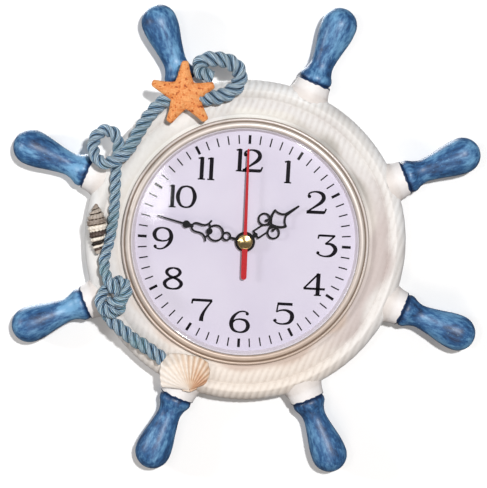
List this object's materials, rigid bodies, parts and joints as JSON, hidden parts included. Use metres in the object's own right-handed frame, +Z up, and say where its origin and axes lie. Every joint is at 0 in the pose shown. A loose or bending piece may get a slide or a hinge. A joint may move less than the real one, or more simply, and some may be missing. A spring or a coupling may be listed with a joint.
{
  "type": "wall clock",
  "caption": "Wall clock in the form of a ship's wheel: ribbed ring, turned handles, knotted rope, starfish, shells, domed lens, numbered dial, openwork hands and a geared battery movement",
  "frame": {"origin": "centre of the hanger plate's round hole, on the plane of the clock's back, 87 mm above the dial's axis", "axes": "+X to the viewer's right, +Y into the wall (the dial faces -Y), +Z up"},
  "size_m": [0.3014, 0.0396, 0.3014],
  "materials": {
    "ring_resin": "white paint over cast resin, satin, rubbed on the ribs",
    "handle_resin": "brushed blue pearl paint, soft gloss",
    "rope_cotton": "three twisted strands, matte, dyed blue",
    "starfish_resin": "painted, matte",
    "whelk_resin": "painted bands, soft gloss",
    "scallop_resin": "painted, satin",
    "plated_steel": "zinc plated",
    "pan_plastic": "matte",
    "grip_rubber": "matte",
    "bezel_metal": "polished, warm",
    "lens_glass": "clear",
    "dial_card": "satin print",
    "spacer_plastic": "satin",
    "case_plastic": "fine matte",
    "nut_brass": "polished",
    "battery_steel": "printed sleeve, satin",
    "contact_steel": "nickel plated",
    "board_laminate": "solder resist",
    "stator_steel": "rolled",
    "bobbin_plastic": "satin",
    "coil_wire": "enamelled wire, glossy",
    "gear_plastic": "satin",
    "spring_steel": "satin",
    "hand_black": "satin",
    "hand_red": "satin",
    "cap_brass": "polished"
  },
  "bodies": {
    "base": {"wheel_rim": "ring_resin", "handle_1": "handle_resin", "handle_2": "handle_resin", "handle_3": "handle_resin", "handle_4": "handle_resin", "handle_5": "handle_resin", "handle_6": "handle_resin", "handle_7": "handle_resin", "handle_8": "handle_resin", "rope": "rope_cotton", "starfish": "starfish_resin", "whelk_shell": "whelk_resin", "scallop_shell": "scallop_resin", "hanger_plate": "plated_steel", "hanger_screws": "plated_steel", "insert_housing": "pan_plastic", "grip_ring": "grip_rubber", "bezel": "bezel_metal", "lens": "lens_glass", "dial": "dial_card", "dial_spacer_ring": "spacer_plastic", "movement_front_case": "case_plastic", "movement_rear_cover": "case_plastic", "dial_washer": "nut_brass", "mounting_nut": "nut_brass", "battery_contact_plus": "contact_steel", "battery_contact_minus": "contact_steel", "circuit_board": "board_laminate", "stator": "stator_steel", "coil_bobbin": "bobbin_plastic", "coil_winding": "coil_wire"},
    "seconds": {"seconds_wheel": "gear_plastic", "second_hand": "hand_red", "second_cap": "cap_brass"},
    "rotor": {"rotor": "gear_plastic"},
    "intermediate": {"intermediate_wheel": "gear_plastic"},
    "third": {"third_wheel": "gear_plastic"},
    "centre": {"centre_wheel": "gear_plastic"},
    "minute": {"minute_arbor": "gear_plastic", "clutch_spring": "spring_steel", "minute_hand": "hand_black"},
    "motion": {"motion_wheel": "gear_plastic"},
    "hour": {"hour_wheel": "gear_plastic", "hour_hand": "hand_black"},
    "knob": {"setting_knob": "gear_plastic"},
    "battery": {"battery": "battery_steel"}
  },
  "joints": [
    {"name": "second_hand_turn", "type": "hinge", "parent": "base", "child": "seconds", "pos_m": [0, 0, -0.087], "axis": [0, 1, 0], "continuous": true},
    {"name": "rotor_turn", "type": "hinge", "parent": "base", "child": "rotor", "pos_m": [-0.01312, 0, -0.07769], "axis": [0, 1, 0], "continuous": true},
    {"name": "intermediate_turn", "type": "hinge", "parent": "base", "child": "intermediate", "pos_m": [-0.0045, 0, -0.07921], "axis": [0, 1, 0], "continuous": true},
    {"name": "third_turn", "type": "hinge", "parent": "base", "child": "third", "pos_m": [-0.009, 0, -0.087], "axis": [0, 1, 0], "continuous": true},
    {"name": "centre_turn", "type": "hinge", "parent": "base", "child": "centre", "pos_m": [0, 0, -0.087], "axis": [0, 1, 0], "continuous": true},
    {"name": "minute_hand_turn", "type": "hinge", "parent": "base", "child": "minute", "pos_m": [0, 0, -0.087], "axis": [0, 1, 0], "continuous": true},
    {"name": "motion_turn", "type": "hinge", "parent": "base", "child": "motion", "pos_m": [0.0045, 0, -0.07921], "axis": [0, 1, 0], "continuous": true},
    {"name": "hour_hand_turn", "type": "hinge", "parent": "base", "child": "hour", "pos_m": [0, 0, -0.087], "axis": [0, 1, 0], "continuous": true},
    {"name": "setting_knob_turn", "type": "hinge", "parent": "base", "child": "knob", "pos_m": [0.01139, 0, -0.07231], "axis": [0, 1, 0], "continuous": true},
    {"name": "battery_pull_out", "type": "slide", "parent": "base", "child": "battery", "axis": [0, 1, 0], "range_m": [0, 0.018]}
  ],
  "couplings": [
    {"joint": "rotor_turn", "follows": "second_hand_turn", "ratio": 30},
    {"joint": "intermediate_turn", "follows": "second_hand_turn", "ratio": -5},
    {"joint": "third_turn", "follows": "second_hand_turn", "ratio": -0.13333},
    {"joint": "centre_turn", "follows": "second_hand_turn", "ratio": 0.016667},
    {"joint": "motion_turn", "follows": "minute_hand_turn", "ratio": -0.33333},
    {"joint": "hour_hand_turn", "follows": "minute_hand_turn", "ratio": 0.083333},
    {"joint": "setting_knob_turn", "follows": "minute_hand_turn", "ratio": 0.75}
  ]
}
